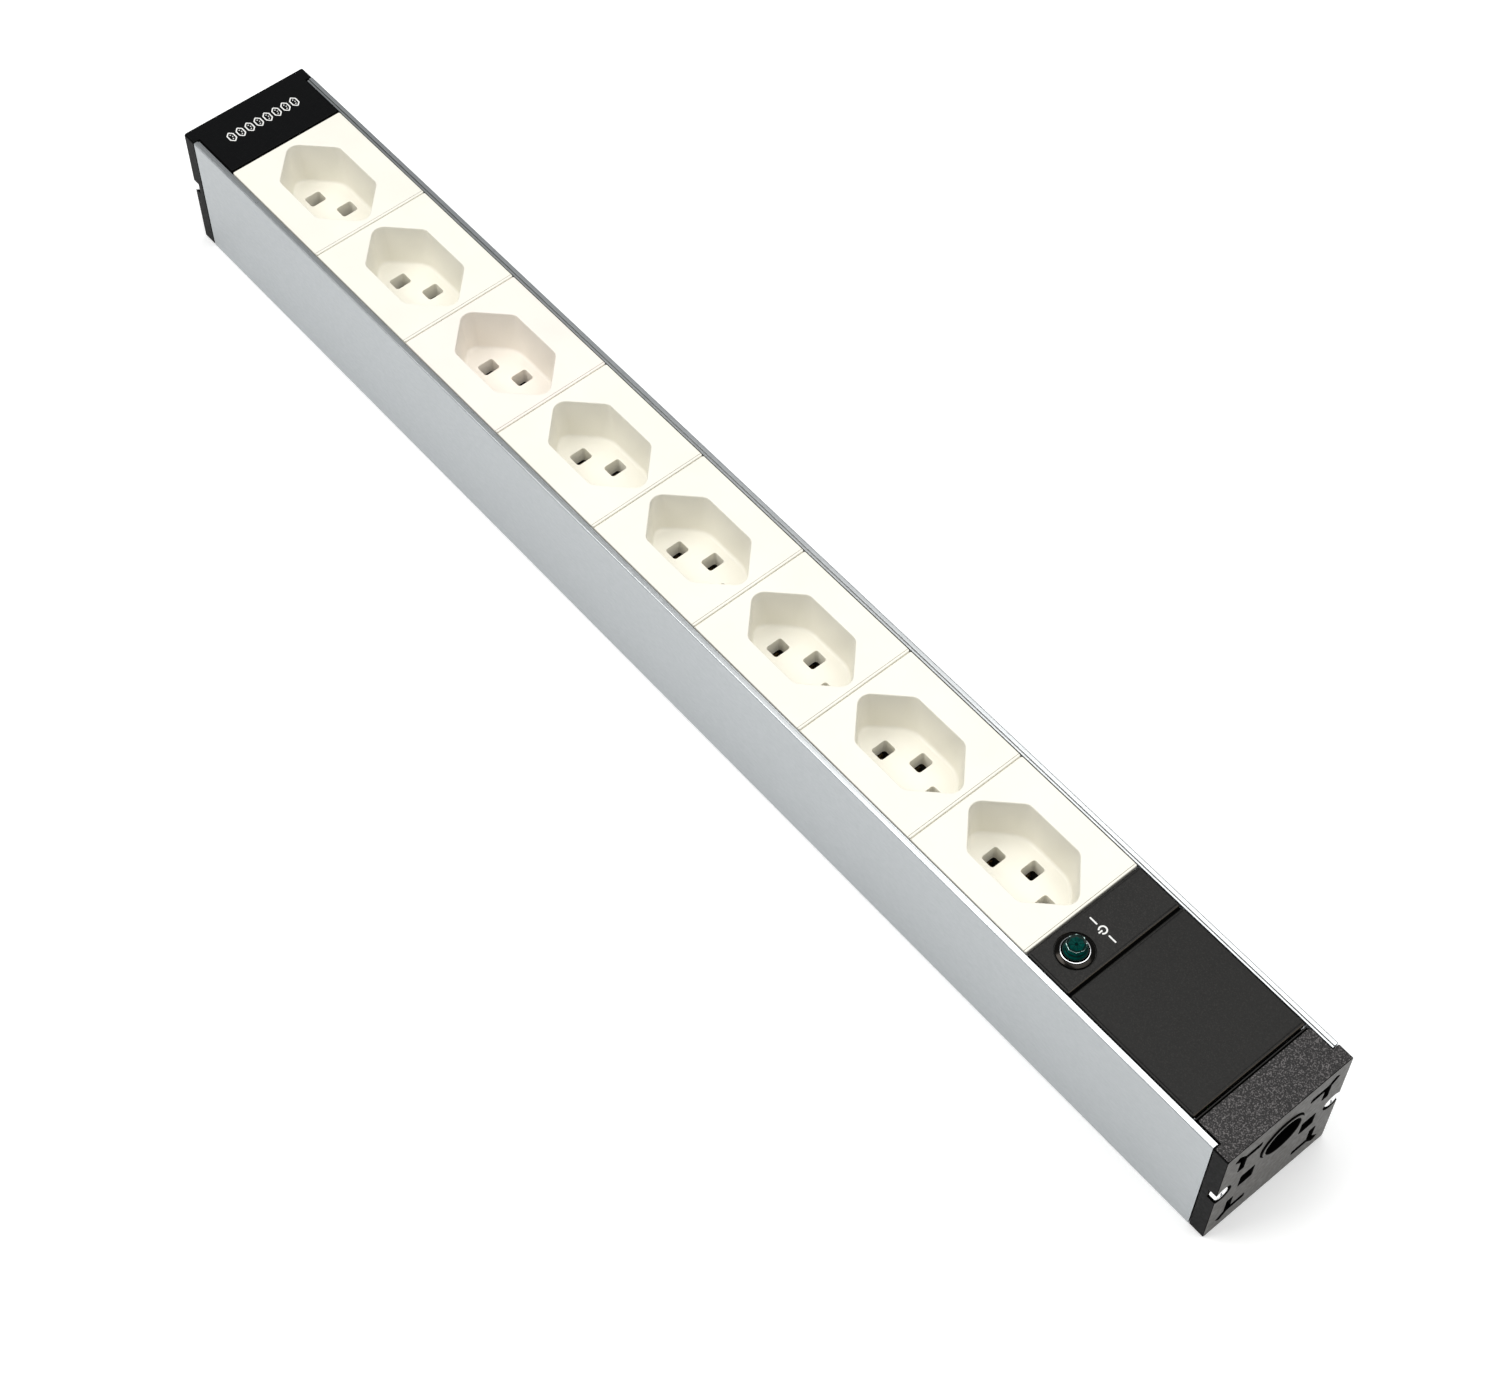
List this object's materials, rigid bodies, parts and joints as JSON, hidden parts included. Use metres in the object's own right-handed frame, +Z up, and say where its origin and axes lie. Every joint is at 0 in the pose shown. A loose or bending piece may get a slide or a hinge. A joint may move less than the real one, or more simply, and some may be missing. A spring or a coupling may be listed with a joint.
{
  "type": "power strip",
  "caption": "Desk power strip: aluminium channel with moulded six-sided Swiss sockets, green pilot lamp, blank plate and black end caps; cable hole at one end.",
  "frame": {"origin": "Under the middle of the strip, on the surface that it stands on.", "axes": "+X along the strip to the cable end, +Y across it to the side of the earth pin holes, +Z up out of the sockets."},
  "size_m": [0.443, 0.044, 0.0488],
  "materials": {
    "anodised_aluminium": "clear anodised extrusion, fine lengthwise grain",
    "white_plastic": "satin moulded, off-white",
    "warm_white_plastic": "satin moulded, slightly pinker off-white",
    "black_plastic": "fine moulded grain",
    "carrier_plastic": "moulded",
    "brass": "stamped",
    "zinc_plated_steel": "bright zinc",
    "chrome": "polished",
    "green_lens": "translucent, polished",
    "insulating_sheet": "pressed sheet",
    "brown_insulation": "smooth",
    "blue_insulation": "smooth",
    "green_yellow_insulation": "striped green and yellow"
  },
  "bodies": {
    "strip": {"aluminium_channel": "anodised_aluminium", "end_cap_closed": "black_plastic", "end_cap_cable": "black_plastic", "cable_bushing": "black_plastic", "lamp_plate": "black_plastic", "blank_plate": "black_plastic", "socket_face_1": "white_plastic", "socket_face_2": "white_plastic", "socket_face_3": "warm_white_plastic", "socket_face_4": "white_plastic", "socket_face_5": "white_plastic", "socket_face_6": "white_plastic", "socket_face_7": "white_plastic", "socket_face_8": "white_plastic", "contact_carrier_1": "carrier_plastic", "contact_carrier_2": "carrier_plastic", "contact_carrier_3": "carrier_plastic", "contact_carrier_4": "carrier_plastic", "contact_carrier_5": "carrier_plastic", "contact_carrier_6": "carrier_plastic", "contact_carrier_7": "carrier_plastic", "contact_carrier_8": "carrier_plastic", "line_contact_rail": "brass", "neutral_contact_rail": "brass", "earth_contact_rail": "brass", "insulating_liner": "insulating_sheet", "lamp_collar": "chrome", "lamp_lens": "green_lens", "lamp_body": "carrier_plastic", "lamp_nut": "zinc_plated_steel", "terminal_block": "carrier_plastic", "terminal_screw_line": "zinc_plated_steel", "terminal_screw_earth": "zinc_plated_steel", "terminal_screw_neutral": "zinc_plated_steel", "earth_lug": "zinc_plated_steel", "earth_screw": "zinc_plated_steel", "line_wire": "brown_insulation", "lamp_lead_line": "brown_insulation", "neutral_wire": "blue_insulation", "lamp_lead_neutral": "blue_insulation", "earth_wire": "green_yellow_insulation", "earth_bond_wire": "green_yellow_insulation"},
    "end_cap_screw_closed_near_body": {"end_cap_screw_closed_near": "zinc_plated_steel"},
    "end_cap_screw_closed_far_body": {"end_cap_screw_closed_far": "zinc_plated_steel"},
    "end_cap_screw_cable_near_body": {"end_cap_screw_cable_near": "zinc_plated_steel"},
    "end_cap_screw_cable_far_body": {"end_cap_screw_cable_far": "zinc_plated_steel"}
  },
  "joints": [
    {"name": "end_cap_screw_closed_near_turn", "type": "hinge", "parent": "strip", "child": "end_cap_screw_closed_near_body", "pos_m": [-0.22148, -0.0196, 0.0232], "axis": [-1, 0, 0], "continuous": true},
    {"name": "end_cap_screw_closed_far_turn", "type": "hinge", "parent": "strip", "child": "end_cap_screw_closed_far_body", "pos_m": [-0.22148, 0.0196, 0.0232], "axis": [-1, 0, 0], "continuous": true},
    {"name": "end_cap_screw_cable_near_turn", "type": "hinge", "parent": "strip", "child": "end_cap_screw_cable_near_body", "pos_m": [0.22102, -0.0196, 0.0232], "axis": [1, 0, 0], "continuous": true},
    {"name": "end_cap_screw_cable_far_turn", "type": "hinge", "parent": "strip", "child": "end_cap_screw_cable_far_body", "pos_m": [0.22102, 0.0196, 0.0232], "axis": [1, 0, 0], "continuous": true}
  ]
}
